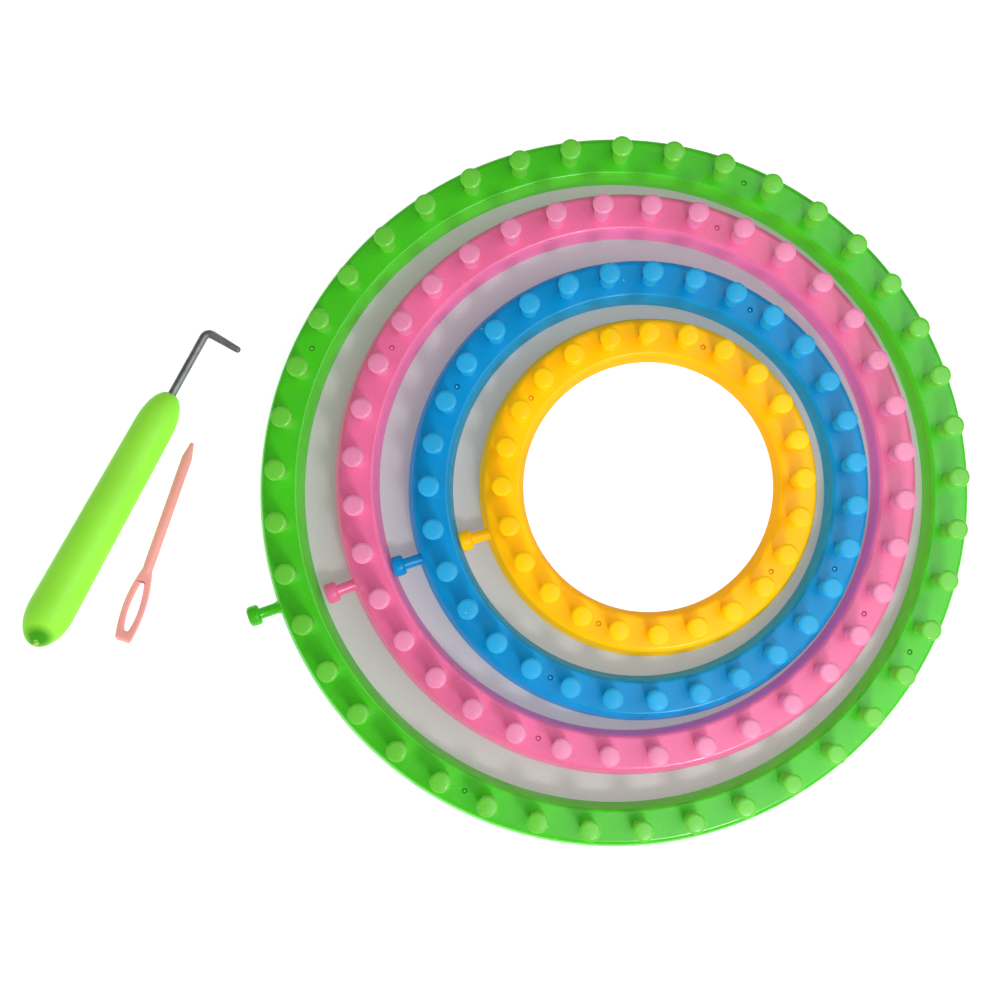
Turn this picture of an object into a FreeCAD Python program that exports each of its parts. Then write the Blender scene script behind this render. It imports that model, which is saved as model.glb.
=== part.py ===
import FreeCAD, Part
import os
import Sketcher

# A set of four nested round knitting looms with the hook tool and the yarn needle that go with them.
# Each loom is a moulded channel ring, open below, with mushroom pegs pressed into sockets in its
# flat top and one side peg pressed into its outer wall, where the yarn's tail is tied. Sizes are in
# millimetres, +Z is up, all stand on Z = 0, and the origin is under the middle of the whole set.

document = FreeCAD.newDocument("round_knitting_looms")
sizes = document.addObject("Spreadsheet::Sheet", "Sizes")

DRIVING_SIZES = {
    # every loom's ring section
    "ring_height": 15.0,
    "base_width": 18.1,
    "outer_draft": 9.0,
    "inner_draft": 5.0,
    "outer_shoulder": 2.0,
    "inner_shoulder": 1.5,
    "wall": 1.8,
    "top_plate": 4.0,
    # upright pegs
    "peg_inset": 9.7,
    "peg_height": 20.0,
    "shaft_diameter": 6.3,
    "head_diameter": 8.3,
    "head_top_diameter": 7.0,
    "head_flare": 2.5,
    "head_bevel": 0.7,
    "socket_clearance": 0.03,
    # gate dimples between the runs of pegs
    "dimple_diameter": 2.3,
    "dimple_nub_diameter": 0.7,
    "dimple_depth": 0.5,
    # side pegs
    "side_peg_height": 8.0,
    "side_peg_stub": 3.8,
    "side_stem_diameter": 4.4,
    "side_head_diameter": 8.0,
    "side_head_end_diameter": 6.0,
    "side_head_neck_diameter": 5.8,
    "side_head_length": 6.0,
    "side_head_round": 1.5,
    "side_head_back": 2.0,
    # the largest loom: its place, the direction of its side peg, its count of pegs, and the
    # pitches from the side peg to the dimples on either side of it
    "green_diameter": 290.0,
    "green_x": 46.3,
    "green_y": 0.0,
    "green_turn": 199.3,
    "green_side_reach": 11.7,
    "green_pegs": 41,
    "green_near_dimple": 5.0,
    "green_far_dimple": 15.0,
    # each smaller loom is sized to lie inside the one before it, by the room at its side peg's tip
    # and at the far side, and is pushed so far across that line
    "pink_side_gap": 2.5,
    "pink_far_gap": 2.5,
    "pink_shift": 1.55,
    "pink_turn": 200.7,
    "pink_side_reach": 10.6,
    "pink_pegs": 36,
    "pink_near_dimple": 5.0,
    "pink_far_dimple": 13.0,
    "blue_side_gap": 0.2,
    "blue_far_gap": 2.2,
    "blue_shift": -4.1,
    "blue_turn": 197.8,
    "blue_side_reach": 10.6,
    "blue_pegs": 31,
    "blue_near_dimple": 4.0,
    "blue_far_dimple": 12.0,
    "yellow_side_gap": 0.3,
    "yellow_far_gap": 2.9,
    "yellow_shift": 0.0,
    "yellow_turn": 196.5,
    "yellow_side_reach": 10.6,
    "yellow_pegs": 24,
    "yellow_near_dimple": 3.5,
    "yellow_far_dimple": 8.5,
    # hook tool: its nose is placed from the green loom's left edge
    "handle_length": 115.0,
    "nose_diameter": 6.4,
    "nose_length": 18.0,
    "front_diameter": 16.2,
    "rear_diameter": 18.8,
    "butt_length": 16.0,
    "butt_diameter": 8.0,
    "handle_edge": 1.2,
    "dish_radius": 10.0,
    "dish_root": 8.0,
    "dish_floor": 5.3,
    "dish_tilt": 61.0,
    "nub_length": 3.5,
    "nub_width": 1.7,
    "nub_rise": 0.6,
    "nub_turn": 39.0,
    "nub_from_end": 2.9,
    "nub_aside": 1.6,
    "shank_diameter": 2.7,
    "shank_reach": 28.2,
    "shank_depth": 24.0,
    "bend_radius": 2.4,
    "bend_angle": 92.0,
    "hook_arm": 14.2,
    "hook_tip_diameter": 1.9,
    "hook_gap": 35.0,
    "hook_y": 37.6,
    "hook_turn": 62.1,
    # yarn needle: its butt is placed from the same edge, and its lengths run from the butt
    "needle_length": 85.4,
    "needle_diameter": 4.3,
    "needle_tip_diameter": 1.5,
    "needle_taper": 9.0,
    "butt_width": 5.8,
    "butt_corner": 1.6,
    "blade_rear_width": 6.6,
    "blade_middle": 14.3,
    "blade_width": 9.0,
    "blade_front": 27.0,
    "blade_front_width": 5.9,
    "blade_length": 31.5,
    "blade_root_width": 3.6,
    "blade_overlap": 1.5,
    "blade_thickness": 3.0,
    "blade_edge": 0.8,
    "eye_wall": 4.6,
    "eye_length": 20.7,
    "eye_width": 4.4,
    "eye_end_radius": 0.9,
    "needle_gap": 54.5,
    "needle_y": -62.5,
    "needle_turn": 71.5,
}

for row, (alias, number) in enumerate(DRIVING_SIZES.items(), start=1):
    sizes.set("A%d" % row, alias)
    sizes.set("B%d" % row, str(number))
    sizes.setAlias("B%d" % row, alias)
document.recompute()

# Lengths closer than this are the same place.
TOUCH = 0.01


def named_values(name, expressions):
    """A set of values worked out from the sheet, which the pieces of one loom share."""
    group = document.addObject("App::VarSet", name)
    for value_name, expression in expressions.items():
        group.addProperty("App::PropertyFloat", value_name)
        group.setExpression(value_name, expression)
    document.recompute()
    return group


def loom_values(colour, around):
    """Where a loom lies and how large it is; around names the loom that it lies in, if any."""
    if around is None:
        radius = "Sizes.green_diameter / 2"
        centre_x = "Sizes.green_x"
        centre_y = "Sizes.green_y"
    else:
        reach = "Sizes.%s_side_reach + Sizes.%s_side_gap" % (colour, colour)
        far_gap = "Sizes.%s_far_gap" % colour
        push = "(%s - %s) / 2" % (reach, far_gap)
        shift = "Sizes.%s_shift" % colour
        turn = "Sizes.%s_turn" % colour
        radius = "%s_loom.radius - Sizes.base_width - (%s + %s) / 2" % (around, reach, far_gap)
        centre_x = "%s_loom.centre_x - %s * cos(%s) + %s * sin(%s)" % (
            around, push, turn, shift, turn
        )
        centre_y = "%s_loom.centre_y - %s * sin(%s) - %s * cos(%s)" % (
            around, push, turn, shift, turn
        )
    return named_values(colour + "_loom", {
        "radius": radius,
        "peg_circle": radius + " - Sizes.peg_inset",
        "pitch": "360 / Sizes.%s_pegs" % colour,
        "centre_x": centre_x,
        "centre_y": centre_y,
    })


def value(expression):
    """The number that an expression gives now."""
    return float(green_loom.evalExpression(expression))


def spot(corner):
    """The point that a pair of expressions gives."""
    return FreeCAD.Vector(value(corner[0]), value(corner[1]), 0)


def new_body(label):
    body = document.addObject("PartDesign::Body", label)
    body.Label = label
    return body


def origin_feature(body, role):
    """One of a body's own origin planes or axes."""
    return [item for item in body.Origin.OriginFeatures if item.Role == role][0]


def new_sketch(body, name, role, offset=None):
    """A sketch on one of the body's origin planes, or that far along the plane's normal."""
    sketch = body.newObject("Sketcher::SketchObject", name)
    sketch.AttachmentSupport = [(origin_feature(body, role), "")]
    sketch.MapMode = "FlatFace"
    if offset:
        sketch.setExpression("AttachmentOffset.Base.z", offset)
    return sketch


def pin_point(sketch, curve, end, corner):
    """Holds one point of a curve at a pair of expressions from the sketch's origin."""
    for expression, rule_name, axis in (
        (corner[0], "DistanceX", -2),
        (corner[1], "DistanceY", -1),
    ):
        if expression == "0":
            sketch.addConstraint(Sketcher.Constraint("PointOnObject", curve, end, axis))
        else:
            rule = sketch.addConstraint(
                Sketcher.Constraint(rule_name, -1, 1, curve, end, value(expression))
            )
            sketch.setExpression("Constraints[%d]" % rule, expression)


def end_at(sketch, curve, corner):
    """Which end of a curve lies at a corner: 1 for its start, 2 for its end."""
    return 1 if sketch.getPoint(curve, 1).distanceToPoint(spot(corner)) < TOUCH else 2


def outline(sketch, runs, smooth=()):
    """A closed outline. Each run is a line (start, end) or an arc (start, end, middle) between
    corners; at a corner in smooth the two runs meet in one tangent. An arc whose middle is given as
    a vector is held by its tangents, and any other by a point on it."""
    ends = {}
    for run in runs:
        start, end = run[0], run[1]
        if len(run) == 2:
            shape = Part.LineSegment(spot(start), spot(end))
        else:
            middle = run[2] if isinstance(run[2], FreeCAD.Vector) else spot(run[2])
            shape = Part.Arc(spot(start), middle, spot(end))
        curve = sketch.addGeometry(shape, False)
        for corner in (start, end):
            ends.setdefault(corner, []).append((curve, end_at(sketch, curve, corner)))
        if len(run) == 3 and not isinstance(run[2], FreeCAD.Vector):
            passed = sketch.addGeometry(Part.Point(spot(run[2])), True)
            pin_point(sketch, passed, 1, run[2])
            sketch.addConstraint(Sketcher.Constraint("PointOnObject", passed, 1, curve))
    for corner, (first, second) in ends.items():
        kind = "Tangent" if corner in smooth else "Coincident"
        sketch.addConstraint(Sketcher.Constraint(kind, *first, *second))
        pin_point(sketch, *first, corner)


def polygon(sketch, corners):
    """A closed outline of straight lines."""
    outline(sketch, list(zip(corners, corners[1:] + corners[:1])))


def circle_at(sketch, centre, radius):
    curve = sketch.addGeometry(
        Part.Circle(spot(centre), FreeCAD.Vector(0, 0, 1), value(radius)), False
    )
    pin_point(sketch, curve, 3, centre)
    rule = sketch.addConstraint(Sketcher.Constraint("Radius", curve, value(radius)))
    sketch.setExpression("Constraints[%d]" % rule, radius)


def axis_line(sketch, start, end):
    """The construction line that a revolution turns about."""
    curve = sketch.addGeometry(Part.LineSegment(spot(start), spot(end)), True)
    pin_point(sketch, curve, 1, start)
    pin_point(sketch, curve, 2, end)


def revolve(body, sketch, name, axis):
    feature = body.newObject("PartDesign::Revolution", name)
    feature.Profile = sketch
    feature.ReferenceAxis = (sketch, [axis])
    feature.Angle = 360
    document.recompute()
    return feature


def check_cut(feature, before):
    """A cut that points away from the solid would take nothing off it."""
    if feature.Shape.Volume >= before - TOUCH:
        raise RuntimeError("%s cut nothing" % feature.Name)


def pocket(body, sketch, name, depth):
    before = body.Shape.Volume
    feature = body.newObject("PartDesign::Pocket", name)
    feature.Profile = sketch
    feature.setExpression("Length", depth)
    document.recompute()
    check_cut(feature, before)
    return feature


def fillet(body, base, name, edges, radius):
    feature = body.newObject("PartDesign::Fillet", name)
    feature.Base = (base, edges)
    feature.setExpression("Radius", radius)
    document.recompute()
    return feature


def edges_of(shape, keep):
    """The names of the edges whose boxes pass a test."""
    return [
        "Edge%d" % number
        for number, edge in enumerate(shape.Edges, start=1)
        if keep(edge.BoundBox)
    ]


def place(body, x, y, z, turn, tilt="0"):
    """Binds where a sub-part stands, its turn about Z, and how far its own +X dips."""
    body.setExpression(
        "Placement",
        "placement(vector(%s; %s; %s); rotation(%s; %s; 0))" % (x, y, z, turn, tilt),
    )


def place_in_loom(body, colour, extra_turn=""):
    """Every piece of a loom is drawn about the loom's centre, with +X towards its side peg."""
    loom = colour + "_loom"
    turn = "Sizes.%s_turn%s" % (colour, extra_turn)
    place(body, loom + ".centre_x", loom + ".centre_y", "0", turn)


def loom_ring(colour):
    """The ring: sloping walls, a thick flat top with rounded shoulders, a socket under every peg,
    four gate dimples, and the hole that the side peg is pressed into."""
    loom = colour + "_loom"
    outer = loom + ".radius"
    inner = "(%s.radius - Sizes.base_width)" % loom
    top = "Sizes.ring_height"
    ceiling = "(Sizes.ring_height - Sizes.top_plate)"
    body = new_body(colour + "_ring")

    section = new_sketch(body, colour + "_ring_section", "XZ_Plane")
    polygon(section, [
        (outer, "0"),
        ("%s - %s * tan(Sizes.outer_draft)" % (outer, top), top),
        ("%s + %s * tan(Sizes.inner_draft)" % (inner, top), top),
        (inner, "0"),
        ("%s + Sizes.wall" % inner, "0"),
        ("%s + Sizes.wall + %s * tan(Sizes.inner_draft)" % (inner, ceiling), ceiling),
        ("%s - Sizes.wall - %s * tan(Sizes.outer_draft)" % (outer, ceiling), ceiling),
        ("%s - Sizes.wall" % outer, "0"),
    ])
    channel = revolve(body, section, colour + "_channel", "V_Axis")

    def rim(shape, pick):
        """The widest or narrowest circle round the flat top."""
        height = value(top)
        names = edges_of(
            shape, lambda box: abs(box.ZMin - height) < TOUCH and abs(box.ZMax - height) < TOUCH
        )
        return pick(names, key=lambda edge_name: shape.getElement(edge_name).BoundBox.XMax)

    shoulder = fillet(
        body, channel, colour + "_outer_shoulder", [rim(channel.Shape, max)],
        "Sizes.outer_shoulder",
    )
    fillet(
        body, shoulder, colour + "_inner_shoulder", [rim(shoulder.Shape, min)],
        "Sizes.inner_shoulder",
    )

    first_peg = "((Sizes.%s_near_dimple + 0.5) * %s.pitch)" % (colour, loom)
    socket_spot = new_sketch(body, colour + "_socket_spot", "XY_Plane", top)
    circle_at(
        socket_spot,
        (
            "%s.peg_circle * cos(%s)" % (loom, first_peg),
            "%s.peg_circle * sin(%s)" % (loom, first_peg),
        ),
        "Sizes.shaft_diameter / 2 + Sizes.socket_clearance",
    )
    socket = pocket(body, socket_spot, colour + "_socket", "Sizes.top_plate")
    sockets = body.newObject("PartDesign::PolarPattern", colour + "_sockets")
    sockets.Originals = [socket]
    sockets.Axis = (origin_feature(body, "Z_Axis"), [""])
    sockets.Angle = 360
    sockets.setExpression("Occurrences", "Sizes.%s_pegs" % colour)
    body.Tip = sockets
    document.recompute()

    dimple_spots = new_sketch(body, colour + "_dimple_spots", "XY_Plane", top)
    for distance in ("near", "far"):
        angle = "(Sizes.%s_%s_dimple * %s.pitch)" % (colour, distance, loom)
        for side in ("", "-"):
            centre = (
                "%s.peg_circle * cos(%s)" % (loom, angle),
                "%s%s.peg_circle * sin(%s)" % (side, loom, angle),
            )
            circle_at(dimple_spots, centre, "Sizes.dimple_diameter / 2")
            circle_at(dimple_spots, centre, "Sizes.dimple_nub_diameter / 2")
    pocket(body, dimple_spots, colour + "_dimples", "Sizes.dimple_depth")

    side_spot = new_sketch(body, colour + "_side_spot", "YZ_Plane", outer)
    circle_at(
        side_spot,
        ("0", "Sizes.side_peg_height"),
        "Sizes.side_stem_diameter / 2 + Sizes.socket_clearance",
    )
    pocket(
        body, side_spot, colour + "_side_hole",
        "Sizes.side_peg_height * tan(Sizes.outer_draft) + 2 * Sizes.wall",
    )
    place_in_loom(body, colour)
    return body


def peg_run(colour, name, before_first, count):
    """One run of upright pegs between two gate dimples: a shaft whose foot fills its socket, and a
    mushroom head that keeps the yarn's loops from slipping off. before_first is the pitches from
    the side peg to the dimple that the run follows."""
    axis = colour + "_loom.peg_circle"
    foot = "Sizes.ring_height - Sizes.top_plate"
    top = "Sizes.ring_height + Sizes.peg_height"
    rim = top + " - Sizes.head_bevel"
    neck = rim + " - Sizes.head_flare"
    body = new_body("%s_pegs_%s" % (colour, name))
    body.AllowCompound = True
    profile = new_sketch(body, "%s_%s_peg_profile" % (colour, name), "XZ_Plane")
    polygon(profile, [
        (axis, foot),
        (axis + " + Sizes.shaft_diameter / 2", foot),
        (axis + " + Sizes.shaft_diameter / 2", neck),
        (axis + " + Sizes.head_diameter / 2", rim),
        (axis + " + Sizes.head_top_diameter / 2", top),
        (axis, top),
    ])
    axis_line(profile, (axis, "0"), (axis, "Sizes.ring_height"))
    peg = revolve(body, profile, "%s_%s_peg" % (colour, name), "Axis0")
    pegs = body.newObject("PartDesign::PolarPattern", "%s_%s_run" % (colour, name))
    pegs.Originals = [peg]
    pegs.Axis = (origin_feature(body, "Z_Axis"), [""])
    pegs.Mode = "Spacing"
    pegs.setExpression("Offset", colour + "_loom.pitch")
    pegs.setExpression("Occurrences", count)
    body.Tip = pegs
    place_in_loom(body, colour, " + (%s + 0.5) * %s_loom.pitch" % (before_first, colour))
    return body


def peg_runs(colour):
    """The four runs that the dimples divide a loom's pegs into."""
    near = "Sizes.%s_near_dimple" % colour
    far = "Sizes.%s_far_dimple" % colour
    beside = "%s - %s" % (far, near)
    return [
        peg_run(colour, "near", "-" + near, "2 * " + near),
        peg_run(colour, "left", near, beside),
        peg_run(colour, "far", far, "Sizes.%s_pegs - 2 * %s" % (colour, far)),
        peg_run(colour, "right", "-" + far, beside),
    ]


def side_peg(colour):
    """The peg that stands out of the outer wall: a stub in the wall, a stem and a rounded button."""
    axis = "Sizes.side_peg_height"
    start = "%s_loom.radius - Sizes.side_peg_stub" % colour
    end = "%s_loom.radius + Sizes.%s_side_reach" % (colour, colour)
    back = end + " - Sizes.side_head_length"
    stem_side = axis + " + Sizes.side_stem_diameter / 2"
    head_side = axis + " + Sizes.side_head_diameter / 2"
    body = new_body(colour + "_side_peg")
    profile = new_sketch(body, colour + "_side_peg_profile", "XZ_Plane")
    polygon(profile, [
        (start, axis),
        (start, stem_side),
        (back, stem_side),
        (back, axis + " + Sizes.side_head_neck_diameter / 2"),
        (back + " + Sizes.side_head_back", head_side),
        (end + " - Sizes.side_head_round", head_side),
        (end, axis + " + Sizes.side_head_end_diameter / 2"),
        (end, axis),
    ])
    axis_line(profile, (start, axis), (end, axis))
    revolve(body, profile, colour + "_side_peg_turned", "Axis0")
    place_in_loom(body, colour)
    return body


def tangent_middle(touch, end, direction):
    """The middle of the arc that leaves touch along direction and ends at end."""
    start, finish = spot(touch), spot(end)
    chord = finish - start
    normal = FreeCAD.Vector(-direction.y, direction.x, 0).normalize()
    radius = chord.Length ** 2 / (2 * chord.dot(normal))
    centre = start + normal * radius
    bisector = (start + finish - centre * 2).normalize()
    return centre + bisector * abs(radius)


# How the hook tool lies: on the lower side of its handle, which dips a little towards the nose.
HANDLE_FLANK = "(Sizes.handle_length - Sizes.nose_length - Sizes.butt_length)"
HANDLE_SLOPE = "((Sizes.rear_diameter - Sizes.front_diameter) / 2 / %s)" % HANDLE_FLANK
HANDLE_TILT = "atan(%s)" % HANDLE_SLOPE
HANDLE_REST = "(Sizes.front_diameter / 2 - Sizes.nose_length * %s) * cos(%s)" % (
    HANDLE_SLOPE, HANDLE_TILT
)


def place_hook_tool(body):
    """Both pieces of the hook tool are drawn from the nose of the handle, +X towards the hook."""
    place(
        body, "green_loom.centre_x - green_loom.radius - Sizes.hook_gap", "Sizes.hook_y",
        HANDLE_REST, "Sizes.hook_turn", HANDLE_TILT,
    )


def hook_handle():
    """The hook tool's moulded grip, fuller towards its dished butt, with the shank's blind hole."""
    nose = ("0", "Sizes.nose_diameter / 2")
    front = ("-Sizes.nose_length", "Sizes.front_diameter / 2")
    rear = ("-(Sizes.handle_length - Sizes.butt_length)", "Sizes.rear_diameter / 2")
    butt = ("-Sizes.handle_length", "Sizes.butt_diameter / 2")
    nose_axis = ("0", "0")
    butt_axis = ("-Sizes.handle_length", "0")
    flank = spot(rear) - spot(front)
    body = new_body("hook_handle")
    profile = new_sketch(body, "handle_profile", "XZ_Plane")
    outline(profile, [
        (nose_axis, nose),
        (nose, front, tangent_middle(front, nose, flank * -1)),
        (front, rear),
        (rear, butt, tangent_middle(rear, butt, flank)),
        (butt, butt_axis),
        (butt_axis, nose_axis),
    ], smooth=(front, rear))
    grip = revolve(body, profile, "grip", "H_Axis")

    def end_rim(box):
        length = value("Sizes.handle_length")
        at_an_end = abs(box.XMax) < TOUCH or abs(box.XMin + length) < TOUCH
        return at_an_end and box.XLength < TOUCH

    fillet(body, grip, "grip_ends", edges_of(grip.Shape, end_rim), "Sizes.handle_edge")

    # the dish on the upper side of the rounded butt, and the nub that the gate left in it
    before = body.Shape.Volume
    reach = "(Sizes.dish_floor + Sizes.dish_radius)"
    dish_x = "(Sizes.dish_root - Sizes.handle_length - %s * cos(Sizes.dish_tilt))" % reach
    dish_z = "%s * sin(Sizes.dish_tilt)" % reach
    dish = body.newObject("PartDesign::SubtractiveSphere", "butt_dish")
    dish.setExpression("Radius", "Sizes.dish_radius")
    place(dish, dish_x, "0", dish_z, "0")
    document.recompute()
    check_cut(dish, before)
    nub_x = "(Sizes.nub_from_end - Sizes.handle_length)"
    nub_depth = "sqrt(Sizes.dish_radius ^ 2 - (%s - %s) ^ 2 - Sizes.nub_aside ^ 2)" % (
        nub_x, dish_x
    )
    nub = body.newObject("PartDesign::AdditiveEllipsoid", "dish_nub")
    nub.setExpression("Radius1", "Sizes.nub_rise")
    nub.setExpression("Radius2", "Sizes.nub_width / 2")
    nub.setExpression("Radius3", "Sizes.nub_length / 2")
    place(nub, nub_x, "Sizes.nub_aside", "%s - %s" % (dish_z, nub_depth), "Sizes.nub_turn")
    document.recompute()

    bore = new_sketch(body, "shank_bore", "YZ_Plane")
    circle_at(bore, ("0", "0"), "Sizes.shank_diameter / 2 + Sizes.socket_clearance")
    pocket(body, bore, "shank_hole", "Sizes.shank_depth")
    place_hook_tool(body)
    return body


def hook_shank():
    """The steel wire: a straight shank fixed in the handle, a tight bend and a tapered round tip."""
    bend = "Sizes.bend_angle"
    tangent_length = "(Sizes.bend_radius * tan(%s / 2))" % bend
    tip_radius = "(Sizes.hook_tip_diameter / 2)"

    def on_arm(distance, aside):
        """A point so far along the arm's line from the bend's corner, and that far off it."""
        return (
            "Sizes.shank_reach + %s * cos(%s) + %s * sin(%s)" % (distance, bend, aside, bend),
            "-(%s * sin(%s)) + %s * cos(%s)" % (distance, bend, aside, bend),
        )

    start = ("-Sizes.shank_depth", "0")
    bend_start = ("Sizes.shank_reach - " + tangent_length, "0")
    bend_end = on_arm(tangent_length, "0")
    body = new_body("hook_shank")
    section = new_sketch(body, "wire_section", "YZ_Plane", "-Sizes.shank_depth")
    circle_at(section, ("0", "0"), "Sizes.shank_diameter / 2")
    path = new_sketch(body, "wire_path", "XY_Plane")
    straight = path.addGeometry(Part.LineSegment(spot(start), spot(bend_start)), False)
    curve = path.addGeometry(
        Part.Arc(
            spot(bend_start),
            tangent_middle(bend_start, bend_end, FreeCAD.Vector(1, 0, 0)),
            spot(bend_end),
        ),
        False,
    )
    near_end = end_at(path, curve, bend_start)
    path.addConstraint(Sketcher.Constraint("Tangent", straight, 2, curve, near_end))
    pin_point(path, straight, 1, start)
    pin_point(path, straight, 2, bend_start)
    pin_point(path, curve, 3 - near_end, bend_end)
    document.recompute()
    wire = body.newObject("PartDesign::AdditivePipe", "wire")
    wire.Profile = section
    wire.Spine = (path, [])
    document.recompute()

    arm = new_sketch(body, "arm_profile", "XY_Plane")
    arm_root = on_arm(tangent_length, "0")
    arm_root_side = on_arm(tangent_length, "(Sizes.shank_diameter / 2)")
    tip_side = on_arm("(Sizes.hook_arm - %s)" % tip_radius, tip_radius)
    tip_middle = on_arm(
        "(Sizes.hook_arm - %s * (1 - cos(45)))" % tip_radius, "(%s * sin(45))" % tip_radius
    )
    tip = on_arm("Sizes.hook_arm", "0")
    outline(arm, [
        (arm_root, arm_root_side),
        (arm_root_side, tip_side),
        (tip_side, tip, tip_middle),
        (tip, arm_root),
    ])
    axis_line(arm, arm_root, tip)
    revolve(body, arm, "hook_arm_turned", "Axis0")
    place_hook_tool(body)
    return body


def needle():
    """The plastic yarn needle: a round shaft with a blunt tapered tip, and a flat blade with
    rounded sides round the long eye. It is drawn from its butt, +X towards the tip."""

    def flip(corner):
        return corner[0], "-(%s)" % corner[1]

    def both_sides(run):
        return [run, tuple(flip(corner) for corner in run)]

    butt = ("0", "Sizes.butt_width / 2")
    rear = ("Sizes.butt_corner", "Sizes.blade_rear_width / 2")
    middle = ("Sizes.blade_middle", "Sizes.blade_width / 2")
    front = ("Sizes.blade_front", "Sizes.blade_front_width / 2")
    root = ("Sizes.blade_length", "Sizes.blade_root_width / 2")
    eye_rear = ("Sizes.eye_wall + Sizes.eye_end_radius", "Sizes.eye_end_radius")
    eye_front = (
        "Sizes.eye_wall + Sizes.eye_length - Sizes.eye_end_radius", "Sizes.eye_end_radius"
    )
    eye_middle = ("Sizes.eye_wall + Sizes.eye_length / 2", "Sizes.eye_width / 2")
    body = new_body("yarn_needle")
    blade = new_sketch(body, "blade_outline", "XY_Plane", "-Sizes.blade_thickness / 2")
    outline(
        blade,
        both_sides((butt, rear))
        + both_sides((rear, front, middle))
        + both_sides((front, root))
        + [(butt, flip(butt)), (root, flip(root))],
    )
    outline(
        blade,
        both_sides((eye_rear, eye_front, eye_middle))
        + [
            (eye_rear, flip(eye_rear), ("Sizes.eye_wall", "0")),
            (eye_front, flip(eye_front), ("Sizes.eye_wall + Sizes.eye_length", "0")),
        ],
    )
    plate = body.newObject("PartDesign::Pad", "blade")
    plate.Profile = blade
    plate.setExpression("Length", "Sizes.blade_thickness")
    document.recompute()

    def blade_rim(box):
        """The upper and lower edges along the blade's sides, outside the eye."""
        outside_eye = max(box.YMax, -box.YMin) > value("Sizes.eye_width / 2") + TOUCH
        return box.ZLength < TOUCH and box.XLength > TOUCH and outside_eye

    fillet(body, plate, "blade_edges", edges_of(plate.Shape, blade_rim), "Sizes.blade_edge")

    shaft = new_sketch(body, "shaft_profile", "XZ_Plane")
    length = "Sizes.needle_length"
    polygon(shaft, [
        ("Sizes.blade_front", "0"),
        ("Sizes.blade_front", "Sizes.blade_thickness / 2 - Sizes.blade_edge"),
        ("Sizes.blade_length - Sizes.blade_overlap", "Sizes.needle_diameter / 2"),
        (length + " - Sizes.needle_taper", "Sizes.needle_diameter / 2"),
        (length + " - Sizes.needle_tip_diameter / 2", "Sizes.needle_tip_diameter / 2"),
        (length, "Sizes.needle_tip_diameter / 4"),
        (length, "0"),
    ])
    revolve(body, shaft, "shaft", "H_Axis")
    place(
        body, "green_loom.centre_x - green_loom.radius - Sizes.needle_gap", "Sizes.needle_y",
        "Sizes.needle_diameter / 2", "Sizes.needle_turn",
    )
    return body


green_loom = loom_values("green", None)
loom_values("pink", "green")
loom_values("blue", "pink")
loom_values("yellow", "blue")

sub_parts = []
for colour in ("green", "pink", "blue", "yellow"):
    sub_parts.append(loom_ring(colour))
    sub_parts.extend(peg_runs(colour))
    sub_parts.append(side_peg(colour))
sub_parts.append(hook_handle())
sub_parts.append(hook_shank())
sub_parts.append(needle())
document.recompute()

for item in document.Objects:
    if "Invalid" in item.State or "Error" in item.State:
        raise RuntimeError("%s is in state %s" % (item.Label, item.State))
for part in sub_parts:
    if part.Shape.isNull() or not part.Shape.isValid():
        raise RuntimeError("%s has no valid shape" % part.Label)

os.makedirs("parts", exist_ok=True)
for part in sub_parts:
    part.Shape.exportStep("parts/%s.step" % part.Label)
    box = part.Shape.BoundBox
    print("%-18s solids %2d  volume %8.1f  x %7.2f %7.2f  y %7.2f %7.2f  z %5.2f %5.2f" % (
        part.Label, len(part.Shape.Solids), part.Shape.Volume,
        box.XMin, box.XMax, box.YMin, box.YMax, box.ZMin, box.ZMax
    ))
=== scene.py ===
import bmesh
import bpy
import math
import random
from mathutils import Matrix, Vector


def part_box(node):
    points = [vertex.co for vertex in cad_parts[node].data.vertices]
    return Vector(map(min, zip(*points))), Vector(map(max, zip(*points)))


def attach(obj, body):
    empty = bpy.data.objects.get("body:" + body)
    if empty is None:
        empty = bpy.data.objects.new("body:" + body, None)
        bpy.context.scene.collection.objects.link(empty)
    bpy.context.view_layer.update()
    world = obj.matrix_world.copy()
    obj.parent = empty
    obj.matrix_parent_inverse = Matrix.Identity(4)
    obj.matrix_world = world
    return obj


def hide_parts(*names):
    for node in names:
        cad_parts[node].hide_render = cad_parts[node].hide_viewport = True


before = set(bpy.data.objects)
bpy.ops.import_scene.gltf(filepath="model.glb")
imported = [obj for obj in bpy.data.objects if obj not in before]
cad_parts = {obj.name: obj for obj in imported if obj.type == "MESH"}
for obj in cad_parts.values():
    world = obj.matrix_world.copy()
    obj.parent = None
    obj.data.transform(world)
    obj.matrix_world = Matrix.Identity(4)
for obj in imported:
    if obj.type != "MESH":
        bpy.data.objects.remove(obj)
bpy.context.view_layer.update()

# The rings of the four looms. Each is one injection-moulded channel of glossy plastic, open below,
# with sloping walls, rounded shoulders and a thick flat top. The four gates that fed its mould have
# left small round dimples, each with a nub in the middle.

MM = 0.001
RING_HEIGHT = 15 * MM
BASE_WIDTH = 18.1 * MM
WALL = 1.8 * MM
CEILING = 11 * MM
OUTER_DRAFT = math.tan(math.radians(9))
INNER_DRAFT = math.tan(math.radians(5))
OUTER_SHOULDER = 2.0 * MM
INNER_SHOULDER = 1.5 * MM
SHOULDER_STEPS = 6
RING_STEPS = 288
PEG_INSET = 9.7 * MM
DIMPLE_SIDES = 24
DIMPLE_RADIUS = 1.15 * MM
DIMPLE_NUB_RADIUS = 0.35 * MM
DIMPLE_DEPTH = 0.9 * MM
DIMPLE_NUB_HEIGHT = 0.72 * MM
CLOSE = 0.01 * MM

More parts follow.
